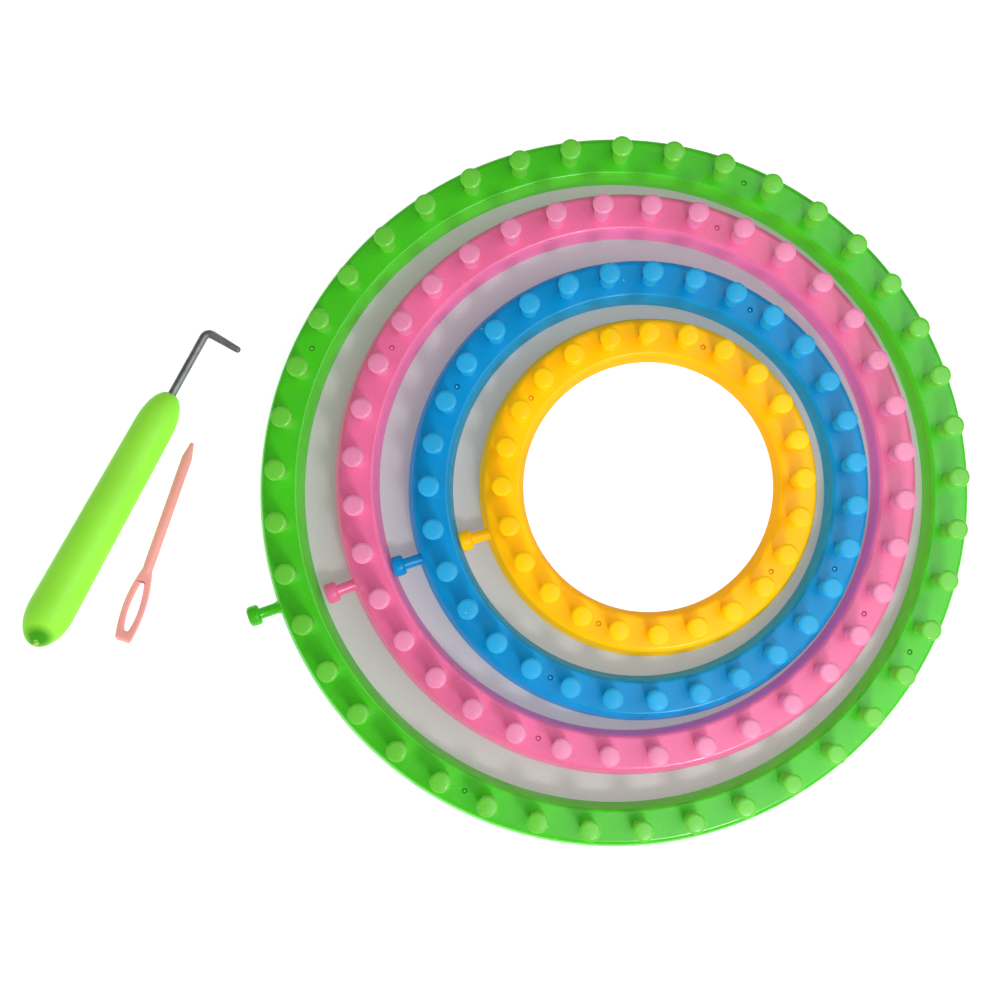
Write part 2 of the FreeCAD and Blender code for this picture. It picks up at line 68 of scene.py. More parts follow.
# each loom's count of pegs, and the pitches from its side peg to the dimples on either side
LOOMS = {
    "green": (41, 5, 15),
    "pink": (36, 5, 13),
    "blue": (31, 4, 12),
    "yellow": (24, 3.5, 8.5),
}
RING_COLOURS = {
    "green": (0.055, 0.52, 0.010),
    "pink": (0.78, 0.145, 0.32),
    "blue": (0.0003, 0.26, 0.57),
    "yellow": (1.0, 0.52, 0.0003),
}
# the share of cells with a speck of dust, how glossy the plastic is, how much painted light
# brightens the thin upright walls, and how much duller they are than the flats
DUST = {"green": 0.06, "pink": 0.06, "blue": 0.25, "yellow": 0.02}
SHEEN = {"green": 0.5, "pink": 0.5, "blue": 0.25, "yellow": 0.2}
WALL_PAINTED_LIGHT = {"green": 0.25, "pink": 0.25, "blue": 0.1, "yellow": 0.0}
WALL_DULLNESS = {"green": 0.25, "pink": 0.25, "blue": 0.25, "yellow": 0.5}


def loom_place(colour):
    """A loom's centre, its outer radius and its side peg's direction, as the frame has them."""
    low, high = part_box(colour + "_ring")
    centre = Vector(((low[0] + high[0]) / 2, (low[1] + high[1]) / 2, 0))
    peg_low, peg_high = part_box(colour + "_side_peg")
    peg = (Vector(peg_low) + Vector(peg_high)) / 2 - centre
    return centre, (high[0] - low[0]) / 2, math.atan2(peg.y, peg.x)


def on_circle(centre, radius, angle, height=0.0):
    return centre + Vector((radius * math.cos(angle), radius * math.sin(angle), height))


def pick(kind, test):
    """Selects the vertices, edges or faces of the piece being edited whose middle passes a test."""
    bpy.ops.mesh.select_mode(type={"verts": "VERT", "edges": "EDGE", "faces": "FACE"}[kind])
    bpy.ops.mesh.select_all(action="DESELECT")
    mesh = bmesh.from_edit_mesh(bpy.context.object.data)
    for item in getattr(mesh, kind):
        if kind == "verts":
            chosen = test(item.co)
        elif kind == "edges":
            chosen = test((item.verts[0].co + item.verts[1].co) / 2)
        else:
            chosen = test(item.calc_center_median(), item.normal)
        item.select_set(chosen)
    mesh.select_flush_mode()
    bmesh.update_edit_mesh(bpy.context.object.data)


def shift(x=0.0, y=0.0, z=0.0):
    bpy.ops.transform.translate(value=(x, y, z))


def alone(piece):
    """Makes a piece the only selected one."""
    if bpy.context.object.mode != "OBJECT":
        bpy.ops.object.mode_set(mode="OBJECT")
    bpy.ops.object.select_all(action="DESELECT")
    piece.select_set(True)
    bpy.context.view_layer.objects.active = piece


def carve(piece, cutter, kind="DIFFERENCE"):
    """Takes a cutter away from a piece, or joins it to the piece, and drops the cutter."""
    alone(piece)
    step = piece.modifiers.new("carve", "BOOLEAN")
    step.operation = kind
    step.solver = "EXACT"
    step.object = cutter
    bpy.ops.object.modifier_apply(modifier=step.name)
    bpy.data.objects.remove(cutter)


def smooth(piece, degrees):
    """Smooth shading, except over edges that turn by more than an angle in degrees."""
    alone(piece)
    bpy.ops.object.shade_smooth_by_angle(angle=math.radians(degrees))


def join(pieces, name):
    """One piece of several."""
    alone(pieces[0])
    for piece in pieces:
        piece.select_set(True)
    bpy.ops.object.join()
    joined = bpy.context.object
    joined.name = name
    bpy.ops.object.transform_apply()
    return joined


def belongs(piece, body, node, material):
    """Gives a piece its material, sets it on its body, and hides the node that it stands for."""
    piece.data.materials.clear()
    piece.data.materials.append(material)
    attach(piece, body)
    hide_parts(node)


def node_tools(tree):
    """Two short calls for a shader's tree: one adds a node, the other links two sockets."""
    def add(kind, **settings):
        node = tree.nodes.new(kind)
        for name, setting in settings.items():
            setattr(node, name, setting)
        return node

    def scaled_noise(scale, detail, vector):
        node = add("ShaderNodeTexNoise")
        node.inputs["Scale"].default_value = scale
        node.inputs["Detail"].default_value = detail
        tree.links.new(vector, node.inputs["Vector"])
        return node

    def math_step(operation, first, second, clamp=False):
        node = add("ShaderNodeMath", operation=operation, use_clamp=clamp)
        for socket, given in zip(node.inputs, (first, second)):
            if isinstance(given, (int, float)):
                socket.default_value = given
            else:
                tree.links.new(given, socket)
        return node.outputs[0]

    def stretch(given, low, high, to_low, to_high):
        node = add("ShaderNodeMapRange")
        tree.links.new(given, node.inputs["Value"])
        for name, number in (
            ("From Min", low), ("From Max", high), ("To Min", to_low), ("To Max", to_high)
        ):
            node.inputs[name].default_value = number
        return node.outputs["Result"]

    def mix(factor, first, second, blend="MIX"):
        node = add("ShaderNodeMix", data_type="RGBA", blend_type=blend)
        for name, given in (("Factor", factor), ("A", first), ("B", second)):
            socket = [s for s in node.inputs if s.name == name and s.enabled][0]
            if isinstance(given, (int, float, tuple)):
                socket.default_value = given
            else:
                tree.links.new(given, socket)
        return [s for s in node.outputs if s.enabled][0]

    return add, scaled_noise, math_step, stretch, mix


def moulded_surface():
    """The surface of a moulded plastic part that has been handled: uneven tone, painted light on
    upright faces, fine grain, faint scuffs and specks of dust. It lies on Object coordinates, in
    metres."""
    tree = bpy.data.node_groups.new("moulded surface", "ShaderNodeTree")
    for name, kind, number in (
        ("Colour", "NodeSocketColor", (0.5, 0.5, 0.5, 1)),
        ("Dust", "NodeSocketFloat", 0.1),
        ("Roughness", "NodeSocketFloat", 0.3),
        ("Scuffs", "NodeSocketFloat", 0.15),
        ("Wall Painted Light", "NodeSocketFloat", 0.0),
        ("Wall Dullness", "NodeSocketFloat", 0.0),
    ):
        socket = tree.interface.new_socket(name=name, in_out="INPUT", socket_type=kind)
        socket.default_value = number
    for name, kind in (
        ("Colour", "NodeSocketColor"),
        ("Roughness", "NodeSocketFloat"),
        ("Height", "NodeSocketFloat"),
    ):
        tree.interface.new_socket(name=name, in_out="OUTPUT", socket_type=kind)
    add, scaled_noise, math_step, stretch, mix = node_tools(tree)
    given = add("NodeGroupInput")
    result = add("NodeGroupOutput")
    place = add("ShaderNodeTexCoord").outputs["Object"]

    # tone: slow clouds about 30 mm across
    clouds = scaled_noise(32, 2, place).outputs["Fac"]
    tone = stretch(clouds, 0.3, 0.7, 0.93, 1.06)
    toned = mix(1.0, given.outputs["Colour"], tone, "MULTIPLY")

    # walls: painted light makes the upright faces lighter than the flats; they are also duller,
    # where they slid along the mould
    facing = add("ShaderNodeSeparateXYZ")
    tree.links.new(add("ShaderNodeNewGeometry").outputs["Normal"], facing.inputs[0])
    upright = stretch(facing.outputs["Z"], 0.3, 0.75, 1, 0)
    painted_wall_light = math_step("MULTIPLY", upright, given.outputs["Wall Painted Light"])
    toned = mix(1.0, toned, math_step("ADD", painted_wall_light, 1.0), "MULTIPLY")

    # scuffs: short pale streaks in a few patches
    slant = add("ShaderNodeMapping")
    slant.inputs["Rotation"].default_value = (0.2, 0.1, 0.6)
    slant.inputs["Scale"].default_value = (90, 1500, 90)
    tree.links.new(place, slant.inputs["Vector"])
    streaks = scaled_noise(1, 3, slant.outputs["Vector"]).outputs["Fac"]
    patches = scaled_noise(70, 2, place).outputs["Fac"]
    streak = math_step(
        "MULTIPLY", stretch(streaks, 0.66, 0.74, 0, 1), stretch(patches, 0.58, 0.66, 0, 1)
    )
    scuff = math_step("MULTIPLY", streak, given.outputs["Scuffs"])
    scuffed = mix(scuff, toned, (0.85, 0.85, 0.85, 1))

    # dust: a few specks, some pale and some dark, each in a cell of its own
    cells = add("ShaderNodeTexVoronoi")
    cells.inputs["Scale"].default_value = 210
    tree.links.new(place, cells.inputs["Vector"])
    parts = add("ShaderNodeSeparateColor")
    tree.links.new(cells.outputs["Color"], parts.inputs["Color"])
    spot = stretch(cells.outputs["Distance"], 0.035, 0.06, 1, 0)
    present = math_step("LESS_THAN", parts.outputs["Red"], given.outputs["Dust"])
    speck = math_step("MULTIPLY", spot, present, clamp=True)
    pale = math_step("GREATER_THAN", parts.outputs["Green"], 0.45)
    speck_colour = mix(pale, (0.03, 0.02, 0.02, 1), (0.75, 0.75, 0.75, 1))
    strength = math_step("MULTIPLY", speck, 0.75)
    tree.links.new(mix(strength, scuffed, speck_colour), result.inputs["Colour"])

    # gloss: uneven, duller where it is scuffed or dusty
    smears = scaled_noise(160, 4, place).outputs["Fac"]
    uneven = math_step("ADD", given.outputs["Roughness"], stretch(smears, 0.3, 0.7, -0.05, 0.09))
    marks = math_step("MULTIPLY", math_step("ADD", streak, speck), 0.25)
    worn = math_step("MULTIPLY", upright, given.outputs["Wall Dullness"])
    dull = math_step("ADD", marks, worn)
    tree.links.new(math_step("ADD", uneven, dull, clamp=True), result.inputs["Roughness"])

    # height: the fine grain of the mould's steel and slow sinks of the thick top
    grain = scaled_noise(1400, 2, place).outputs["Fac"]
    sinks = scaled_noise(55, 1, place).outputs["Fac"]
    height = math_step(
        "ADD", math_step("MULTIPLY", grain, 0.012), math_step("MULTIPLY", sinks, 0.22)
    )
    tree.links.new(
        math_step("ADD", height, math_step("MULTIPLY", speck, 0.03)), result.inputs["Height"]
    )
    return tree


MOULDED_SURFACE = moulded_surface()
BUMP_DEPTH = 1 * MM


def plastic(
    name, colour, dust, roughness, scuffs=0.05, sheen=0.35, wall_painted_light=0.0, wall_dullness=0.0
):
    """A moulded plastic's material."""
    material = bpy.data.materials.new(name)
    material.use_nodes = True
    tree = material.node_tree
    shader = tree.nodes["Principled BSDF"]
    surface = tree.nodes.new("ShaderNodeGroup")
    surface.node_tree = MOULDED_SURFACE
    for socket, given in (
        ("Colour", (*colour, 1)),
        ("Dust", dust),
        ("Roughness", roughness),
        ("Scuffs", scuffs),
        ("Wall Painted Light", wall_painted_light),
        ("Wall Dullness", wall_dullness),
    ):
        surface.inputs[socket].default_value = given
    bump = tree.nodes.new("ShaderNodeBump")
    bump.inputs["Distance"].default_value = BUMP_DEPTH
    tree.links.new(surface.outputs["Colour"], shader.inputs["Base Color"])
    tree.links.new(surface.outputs["Roughness"], shader.inputs["Roughness"])
    tree.links.new(surface.outputs["Height"], bump.inputs["Height"])
    tree.links.new(bump.outputs["Normal"], shader.inputs["Normal"])
    shader.inputs["IOR"].default_value = 1.49
    shader.inputs["Specular IOR Level"].default_value = sheen
    return material


def dimple_cutter(place):
    """A short round cutter with a pit in its lower end, which leaves the nub."""
    bpy.ops.object.select_all(action="DESELECT")
    bpy.ops.mesh.primitive_cylinder_add(
        vertices=DIMPLE_SIDES, radius=DIMPLE_RADIUS, depth=4 * DIMPLE_DEPTH,
        location=place + Vector((0, 0, DIMPLE_DEPTH)),
    )
    cutter = bpy.context.object
    bpy.ops.object.transform_apply()
    bpy.ops.object.mode_set(mode="EDIT")
    pick("faces", lambda middle, normal: normal.z < -0.9)
    bpy.ops.mesh.inset(thickness=DIMPLE_RADIUS - DIMPLE_NUB_RADIUS)
    shift(z=DIMPLE_NUB_HEIGHT)
    bpy.ops.object.mode_set(mode="OBJECT")
    return cutter


def pick_dimples(places, most, least=0.0):
    """The faces sunk below the flat whose middle lies so far from a dimple's axis."""
    def inside(middle, normal):
        if not CEILING + CLOSE < middle.z < RING_HEIGHT - CLOSE:
            return False
        away = min((Vector((middle.x, middle.y, 0)) - place).length for place in places)
        return least <= away < most

    pick("faces", inside)


def loom_ring(colour):
    """The section is drawn as a strip of cells beside the loom's centre and spun round it."""
    pegs, near, far = LOOMS[colour]
    centre, outer, turn = loom_place(colour)
    inner = outer - BASE_WIDTH
    bpy.ops.object.select_all(action="DESELECT")
    bpy.ops.mesh.primitive_grid_add(
        x_subdivisions=3, y_subdivisions=2, size=1, rotation=(math.pi / 2, 0, 0),
        location=centre + Vector((outer - BASE_WIDTH / 2, 0, RING_HEIGHT / 2)),
    )
    ring = bpy.context.object
    ring.name = colour + "_ring_moulding"
    ring.scale = (BASE_WIDTH, RING_HEIGHT, 1)
    bpy.ops.object.transform_apply()
    columns = [centre.x + inner + BASE_WIDTH * step / 3 for step in range(4)]
    rows = [RING_HEIGHT * step / 2 for step in range(3)]

    def at(column, row):
        return lambda point: (
            abs(point.x - columns[column]) < CLOSE and abs(point.z - rows[row]) < CLOSE
        )

    # the strip's lower middle cell is taken out, and the corners are moved for the wall and draft
    bpy.ops.object.mode_set(mode="EDIT")
    pick("faces", lambda middle, normal: (
        abs(middle.x - (columns[1] + columns[2]) / 2) < CLOSE and middle.z < rows[1]
    ))
    bpy.ops.mesh.delete(type="FACE")
    for row, height in ((0, 0.0), (1, CEILING), (2, RING_HEIGHT)):
        for column, sideways in (
            (0, height * INNER_DRAFT),
            (1, WALL - BASE_WIDTH / 3 + height * INNER_DRAFT),
            (2, BASE_WIDTH / 3 - WALL - height * OUTER_DRAFT),
            (3, -height * OUTER_DRAFT),
        ):
            pick("verts", at(column, row))
            shift(x=sideways, z=height - rows[row])

    # the rounded shoulders
    for side, radius, draft in (
        (centre.x + outer - RING_HEIGHT * OUTER_DRAFT, OUTER_SHOULDER, OUTER_DRAFT),
        (centre.x + inner + RING_HEIGHT * INNER_DRAFT, INNER_SHOULDER, INNER_DRAFT),
    ):
        pick("verts", lambda point: (
            abs(point.x - side) < CLOSE and abs(point.z - RING_HEIGHT) < CLOSE
        ))
        corner = math.pi / 2 + math.atan(draft)
        bpy.ops.mesh.bevel(
            offset=radius / math.tan(corner / 2), segments=SHOULDER_STEPS, affect="VERTICES"
        )

    # only the outline is spun
    bpy.ops.mesh.select_mode(type="FACE")
    bpy.ops.mesh.select_all(action="SELECT")
    bpy.ops.mesh.region_to_loop()
    bpy.ops.mesh.select_all(action="INVERT")
    bpy.ops.mesh.delete(type="EDGE")
    bpy.ops.mesh.select_all(action="SELECT")
    bpy.ops.mesh.spin(
        steps=RING_STEPS, angle=math.tau, center=centre, axis=(0, 0, 1), use_auto_merge=True
    )
    bpy.ops.mesh.select_all(action="SELECT")
    bpy.ops.mesh.remove_doubles(threshold=CLOSE / 10)
    bpy.ops.mesh.normals_make_consistent(inside=False)
    bpy.ops.object.mode_set(mode="OBJECT")

    pitch = math.tau / pegs
    dimples = [
        on_circle(centre, outer - PEG_INSET, turn + side * distance * pitch)
        for distance in (near, far)
        for side in (1, -1)
    ]
    top = Vector((0, 0, RING_HEIGHT))
    cutters = [dimple_cutter(place + top) for place in dimples]
    carve(ring, join(cutters, colour + "_dimples"))
    smooth(ring, 30)
    # the ring's upright walls are given painted light
    material = plastic(
        colour + " ring plastic", RING_COLOURS[colour], DUST[colour], roughness=0.22,
        sheen=SHEEN[colour], wall_painted_light=WALL_PAINTED_LIGHT[colour], wall_dullness=WALL_DULLNESS[colour],
    )
    belongs(ring, colour + "_loom", colour + "_ring", material)

    # the dimples get painted shade, darker than the flat, and the nub in each a painted highlight,
    # paler than the flat
    for name, strength, painted_highlight, most, least in (
        ("painted_shade", 0.7, 0.0, DIMPLE_RADIUS + 10 * CLOSE, DIMPLE_NUB_RADIUS),
        ("nub", 0.6, 0.3, DIMPLE_NUB_RADIUS, 0.0),
    ):
        shade = [level * strength + painted_highlight for level in RING_COLOURS[colour]]
        ring.data.materials.append(plastic("%s dimple %s" % (colour, name), shade, 0, 0.3))
        ring.active_material_index = len(ring.data.materials) - 1
        bpy.ops.object.mode_set(mode="EDIT")
        pick_dimples(dimples, most, least)
        bpy.ops.object.material_slot_assign()
        bpy.ops.object.mode_set(mode="OBJECT")


for colour in LOOMS:
    loom_ring(colour)

# The upright pegs. Each is a separate solid moulding of the same plastic, pressed through the
# ring's top, with a mushroom head that flares from the shaft and a soft edge round its flat end.
# Their heads look paler than the rings.

PEG_FOOT = 10.7 * MM
PEG_TOP = 34.95 * MM
SHAFT_RADIUS = 3.15 * MM
HEAD_RADIUS = 4.15 * MM
HEAD_TOP_RADIUS = 3.25 * MM
HEAD_FLARE = 2.5 * MM
HEAD_BEVEL = 0.7 * MM
PEG_SIDES = 28
PEG_SWAY = math.radians(0.5)
PEG_SLIP = 0.12 * MM
PEG_COLOURS = {
    "green": (0.13, 0.57, 0.040),
    "pink": (0.80, 0.24, 0.42),
    "blue": (0.020, 0.37, 0.70),
    "yellow": (1.0, 0.58, 0.002),
}


def draw_out(start, direction, profile):
    """Extrudes the selected end along a direction. The profile lists the distance from the start
    and the radius at each step, and the end stands at the first."""
    for (before, old_radius), (distance, radius) in zip(profile, profile[1:]):
        bpy.ops.mesh.extrude_region_move(
            TRANSFORM_OT_translate={"value": direction * (distance - before)}
        )
        size = radius / old_radius
        bpy.ops.transform.resize(
            value=(size, size, size), center_override=start + direction * distance
        )
    bpy.ops.mesh.select_all(action="SELECT")
    bpy.ops.mesh.normals_make_consistent(inside=False)
    bpy.ops.object.mode_set(mode="OBJECT")


def turned(name, start, direction, profile, sides):
    """A round piece drawn out of a disc."""
    bpy.ops.object.select_all(action="DESELECT")
    bpy.ops.mesh.primitive_circle_add(
        vertices=sides, radius=profile[0][1], fill_type="NGON",
        location=start + direction * profile[0][0],
        rotation=direction.to_track_quat("Z", "Y").to_euler(),
    )
    piece = bpy.context.object
    piece.name = name
    bpy.ops.object.transform_apply()
    bpy.ops.object.mode_set(mode="EDIT")
    bpy.ops.mesh.select_all(action="SELECT")
    draw_out(start, direction, profile)
    return piece


def soften(piece, radius, steps, angle):
    """Rounds every edge of a piece that turns by more than an angle in degrees."""
    alone(piece)
    edges = piece.modifiers.new("soften", "BEVEL")
    edges.width = radius
    edges.segments = steps
    edges.limit_method = "ANGLE"
    edges.use_clamp_overlap = False
    edges.angle_limit = math.radians(angle)
    bpy.ops.object.modifier_apply(modifier=edges.name)


def one_peg():
    up = Vector((0, 0, 1))
    # the shaft, a small fillet, the flare, the rim's round edge and the flat end
    rim = PEG_TOP - HEAD_BEVEL
    neck = rim - HEAD_FLARE
    peg = turned("peg", Vector(), up, [
        (PEG_FOOT, SHAFT_RADIUS),
        (neck - 0.4 * MM, SHAFT_RADIUS),
        (neck + 0.2 * MM, SHAFT_RADIUS + 0.14 * MM),
        (rim - 0.30 * MM, HEAD_RADIUS - 0.10 * MM),
        (rim, HEAD_RADIUS),
        (rim + 0.16 * MM, HEAD_RADIUS - 0.07 * MM),
        (PEG_TOP - 0.22 * MM, HEAD_TOP_RADIUS + 0.34 * MM),
        (PEG_TOP - 0.05 * MM, HEAD_TOP_RADIUS + 0.04 * MM),
        (PEG_TOP, HEAD_TOP_RADIUS - 0.25 * MM),
    ], PEG_SIDES)
    smooth(peg, 40)
    return peg


def peg_run(master, colour, name, first, count, material):
    """Copies of the peg for one run; first is the pitches from the side peg to the run's first."""
    centre, outer, turn = loom_place(colour)
    pitch = math.tau / LOOMS[colour][0]
    chance = random.Random(colour + name)
    copies = []
    for number in range(count):
        peg = master.copy()
        peg.data = master.data.copy()
        bpy.context.collection.objects.link(peg)
        angle = turn + (first + number) * pitch
        slip = Vector((chance.uniform(-PEG_SLIP, PEG_SLIP), chance.uniform(-PEG_SLIP, PEG_SLIP), 0))
        lean = (chance.uniform(-PEG_SWAY, PEG_SWAY), chance.uniform(-PEG_SWAY, PEG_SWAY))
        peg.rotation_euler = (*lean, chance.uniform(0, math.tau))
        foot = Vector((0, 0, RING_HEIGHT))
        stand = on_circle(centre, outer - PEG_INSET, angle, RING_HEIGHT) + slip
        peg.location = stand - peg.rotation_euler.to_matrix() @ foot
        copies.append(peg)
    run = join(copies, "%s_pegs_%s_pressed" % (colour, name))
    belongs(run, colour + "_loom", "%s_pegs_%s" % (colour, name), material)


master_peg = one_peg()
for colour, (pegs, near, far) in LOOMS.items():
    # the pegs' shafts are given a little painted light, like the rings' walls
    material = plastic(
        colour + " peg plastic", PEG_COLOURS[colour], DUST[colour] / 2, roughness=0.22,
        scuffs=0.02, sheen=SHEEN[colour], wall_painted_light=0.12, wall_dullness=0.1,
    )
    for name, first, count in (
        ("near", -near, 2 * near),
        ("left", near, far - near),
        ("far", far, pegs - 2 * far),
        ("right", -far, far - near),
    ):
        peg_run(master_peg, colour, name, first + 0.5, round(count), material)
bpy.data.objects.remove(master_peg)

# The side pegs, where the yarn's tail is tied. Each is a small moulding pressed into the outer
# wall: a stem and a button with a soft rim. The green one's stem flares where it meets the wall.

SIDE_PEG_HEIGHT = 8 * MM
SIDE_STEM_RADIUS = 2.3 * MM
SIDE_HEAD_RADIUS = 4.15 * MM
SIDE_HEAD_LENGTH = 4.9 * MM
SIDE_HEAD_BACK = 0.9 * MM
SIDE_HEAD_BACK_RADIUS = 3.5 * MM
SIDE_HEAD_END_RADIUS = 2.8 * MM
SIDE_HEAD_ROUND = 1.5 * MM
SIDE_ROUND_STEPS = 6
SIDE_RIM = 0.2 * MM
SIDE_STUB = 3.8 * MM
SIDE_PEG_SIDES = 48
FLARE_SINK = 0.8 * MM
FLARE_LENGTH = 3.0 * MM
FLARE_RADIUS = 4.6 * MM
FLARE_STEPS = 8


def side_peg(colour):
    centre, outer, turn = loom_place(colour)
    low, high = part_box(colour + "_side_peg")
    direction = Vector((math.cos(turn), math.sin(turn), 0))
    corner_reach = max(
        (Vector((x, y, 0)) - centre).dot(direction)
        for x in (low[0], high[0]) for y in (low[1], high[1])
    )
    slack = SIDE_HEAD_END_RADIUS * abs(math.sin(2 * turn))
    end = corner_reach - slack
    back = end - SIDE_HEAD_LENGTH
    wall = outer - SIDE_PEG_HEIGHT * OUTER_DRAFT
    stem = [(outer - SIDE_STUB, SIDE_STEM_RADIUS)]
    flare_start = wall - FLARE_SINK
    if colour == "green":
        stem += [
            (
                flare_start + FLARE_LENGTH * step / FLARE_STEPS,
                FLARE_RADIUS
                - (FLARE_RADIUS - SIDE_STEM_RADIUS)
                * math.sqrt(1 - (1 - step / FLARE_STEPS) ** 2),
            )
            for step in range(FLARE_STEPS + 1)
        ]
    head = [
        (back, SIDE_STEM_RADIUS),
        (back + 0.02 * MM, SIDE_HEAD_BACK_RADIUS),
        (back + SIDE_HEAD_BACK, SIDE_HEAD_RADIUS),
        (end - SIDE_HEAD_ROUND, SIDE_HEAD_RADIUS),
    ]
    across = SIDE_HEAD_RADIUS - SIDE_HEAD_END_RADIUS
    for step in range(1, SIDE_ROUND_STEPS + 1):
        part = math.pi / 2 * step / SIDE_ROUND_STEPS
        head.append((
            end - SIDE_HEAD_ROUND * (1 - math.sin(part)),
            SIDE_HEAD_END_RADIUS + across * math.cos(part),
        ))
    peg = turned(
        colour + "_side_peg_pressed",
        centre + Vector((0, 0, SIDE_PEG_HEIGHT)),
        direction,
        stem + head,
        SIDE_PEG_SIDES,
    )
    soften(peg, SIDE_RIM, 3, 35)
    smooth(peg, 40)
    material = plastic(
        colour + " side peg plastic", RING_COLOURS[colour], DUST[colour] / 2, roughness=0.22,
        sheen=SHEEN[colour],
    )
    belongs(peg, colour + "_loom", colour + "_side_peg", material)


for colour in LOOMS:
    side_peg(colour)

# The hook tool's handle. It is a solid grip moulded in lime plastic, fuller towards the rear, with
# a satin finish. Its rounded butt has a hollow where the mould was fed, with painted shade, and a
# pale nub.

HANDLE_NOSE = Vector((-133.7, 37.6, 7.83)) * MM
HANDLE_TURN = math.radians(62.1)
HANDLE_DIP = math.atan(0.01605)
NOSE_RADIUS = 2.2 * MM
NOSE_LENGTH = 17 * MM
NOSE_SHAPE = 0.9
FRONT_RADIUS = 8.1 * MM
REAR_RADIUS = 9.4 * MM
BUTT_START = 99 * MM
BUTT_LENGTH = 15.75 * MM
HANDLE_SIDES = 72
ARC_STEPS = 24
DISH_PLACE = Vector((-111.3, -2.0, 5.9)) * MM
DISH_REACH = 7.6 * MM
DISH_DEPTH = 1.0 * MM
NUB_PLACE = Vector((-112.9, -1.7, 4.0)) * MM
NUB_SIZE = Vector((1.6, 3.5, 1.4)) * MM
NUB_TURN = math.radians(46)
NUB_CORE = 1.1 * MM
NUB_FADE = 1.7 * MM
LIME = (0.32, 0.88, 0.052)
LIME_SHADE = (0.045, 0.33, 0.0005)
LIME_PALE = (0.42, 0.74, 0.14)

handle_forward = Vector((
    math.cos(HANDLE_TURN) * math.cos(HANDLE_DIP),
    math.sin(HANDLE_TURN) * math.cos(HANDLE_DIP),
    -math.sin(HANDLE_DIP),
))
handle_left = Vector((-math.sin(HANDLE_TURN), math.cos(HANDLE_TURN), 0))
handle_up = handle_forward.cross(handle_left)


def handle_profile():
    """From the full nose back to the egg-shaped butt."""
    start = math.asin((NOSE_RADIUS / FRONT_RADIUS) ** (1 / NOSE_SHAPE))
    reach = NOSE_LENGTH / math.cos(start) ** NOSE_SHAPE
    nose = []
    butt = []
    for step in range(ARC_STEPS):
        turn = start + (math.pi / 2 - start) * step / ARC_STEPS
        nose.append((
            NOSE_LENGTH - reach * math.cos(turn) ** NOSE_SHAPE,
            FRONT_RADIUS * math.sin(turn) ** NOSE_SHAPE,
        ))
        turn = math.pi / 2 * step / ARC_STEPS
        butt.append((
            BUTT_START + BUTT_LENGTH * math.sin(turn),
            REAR_RADIUS * math.cos(turn),
        ))
    return nose + [(NOSE_LENGTH, FRONT_RADIUS)] + butt


def handle_material(dish, nub_middle):
    """The plastic, with painted shade in the dish and paler on its nub, whose middles are given."""
    material = plastic("lime handle plastic", LIME, dust=0.02, roughness=0.5, scuffs=0.05)
    tree = material.node_tree
    add, scaled_noise, math_step, stretch, mix = node_tools(tree)
    place = add("ShaderNodeTexCoord").outputs["Object"]

    def near(middle, inner, outer, most):
        """A mask round a point, full inside one distance and gone at the other."""
        away = add("ShaderNodeVectorMath", operation="DISTANCE")
        tree.links.new(place, away.inputs[0])
        away.inputs[1].default_value = middle
        return stretch(away.outputs["Value"], inner, outer, most, 0)

    shader = tree.nodes["Principled BSDF"]
    colour = shader.inputs["Base Color"].links[0].from_socket
    # painted shade in the dish, and a paler nub
    colour = mix(near(dish, 0.45 * DISH_REACH, DISH_REACH, 1.0), colour, (*LIME_SHADE, 1))
    colour = mix(near(nub_middle, NUB_CORE, NUB_FADE, 0.9), colour, (*LIME_PALE, 1))
    tree.links.new(colour, shader.inputs["Base Color"])
    return material


def in_tool(place):
    """Where a point given from the nose, along the handle, to its left and up, lies."""
    return HANDLE_NOSE + handle_forward * place.x + handle_left * place.y + handle_up * place.z


handle = turned("hook_handle_grip", HANDLE_NOSE, -handle_forward, handle_profile(), HANDLE_SIDES)
dish_middle = in_tool(DISH_PLACE)
alone(handle)
bpy.ops.object.mode_set(mode="EDIT")
pick("verts", lambda point: (point - dish_middle).length < 0.25 * DISH_REACH)
push = (handle_forward * 0.55 - handle_up).normalized() * DISH_DEPTH
bpy.ops.transform.translate(
    value=push, use_proportional_edit=True, proportional_edit_falloff="SMOOTH",
    proportional_size=0.8 * DISH_REACH,
)
bpy.ops.object.mode_set(mode="OBJECT")
bpy.ops.object.select_all(action="DESELECT")
bpy.ops.mesh.primitive_uv_sphere_add(segments=32, ring_count=16, radius=0.5)
nub = bpy.context.object
nub.scale = NUB_SIZE
nub.rotation_euler = (0, 0, HANDLE_TURN + NUB_TURN)
nub.location = in_tool(NUB_PLACE)
bpy.ops.object.transform_apply()
carve(handle, nub, "UNION")
smooth(handle, 35)
belongs(
    handle, "hook_tool", "hook_handle",
    handle_material(dish_middle, in_tool(NUB_PLACE)),
)

# The hook tool's shank. It is drawn steel wire, fixed in the handle, bent a little past a right
# angle, with an arm that narrows to a rounded tip.

WIRE_RADIUS = 1.75 * MM
SHANK_DEPTH = 24 * MM
SHANK_REACH = 29.0 * MM
BEND_RADIUS = 2.5 * MM
BEND_ANGLE = math.radians(92)
BEND_STEPS = 14
ARM_LENGTH = 15.7 * MM
TIP_RADIUS = 1.4 * MM
WIRE_SIDES = 32
TIP_STEPS = 5


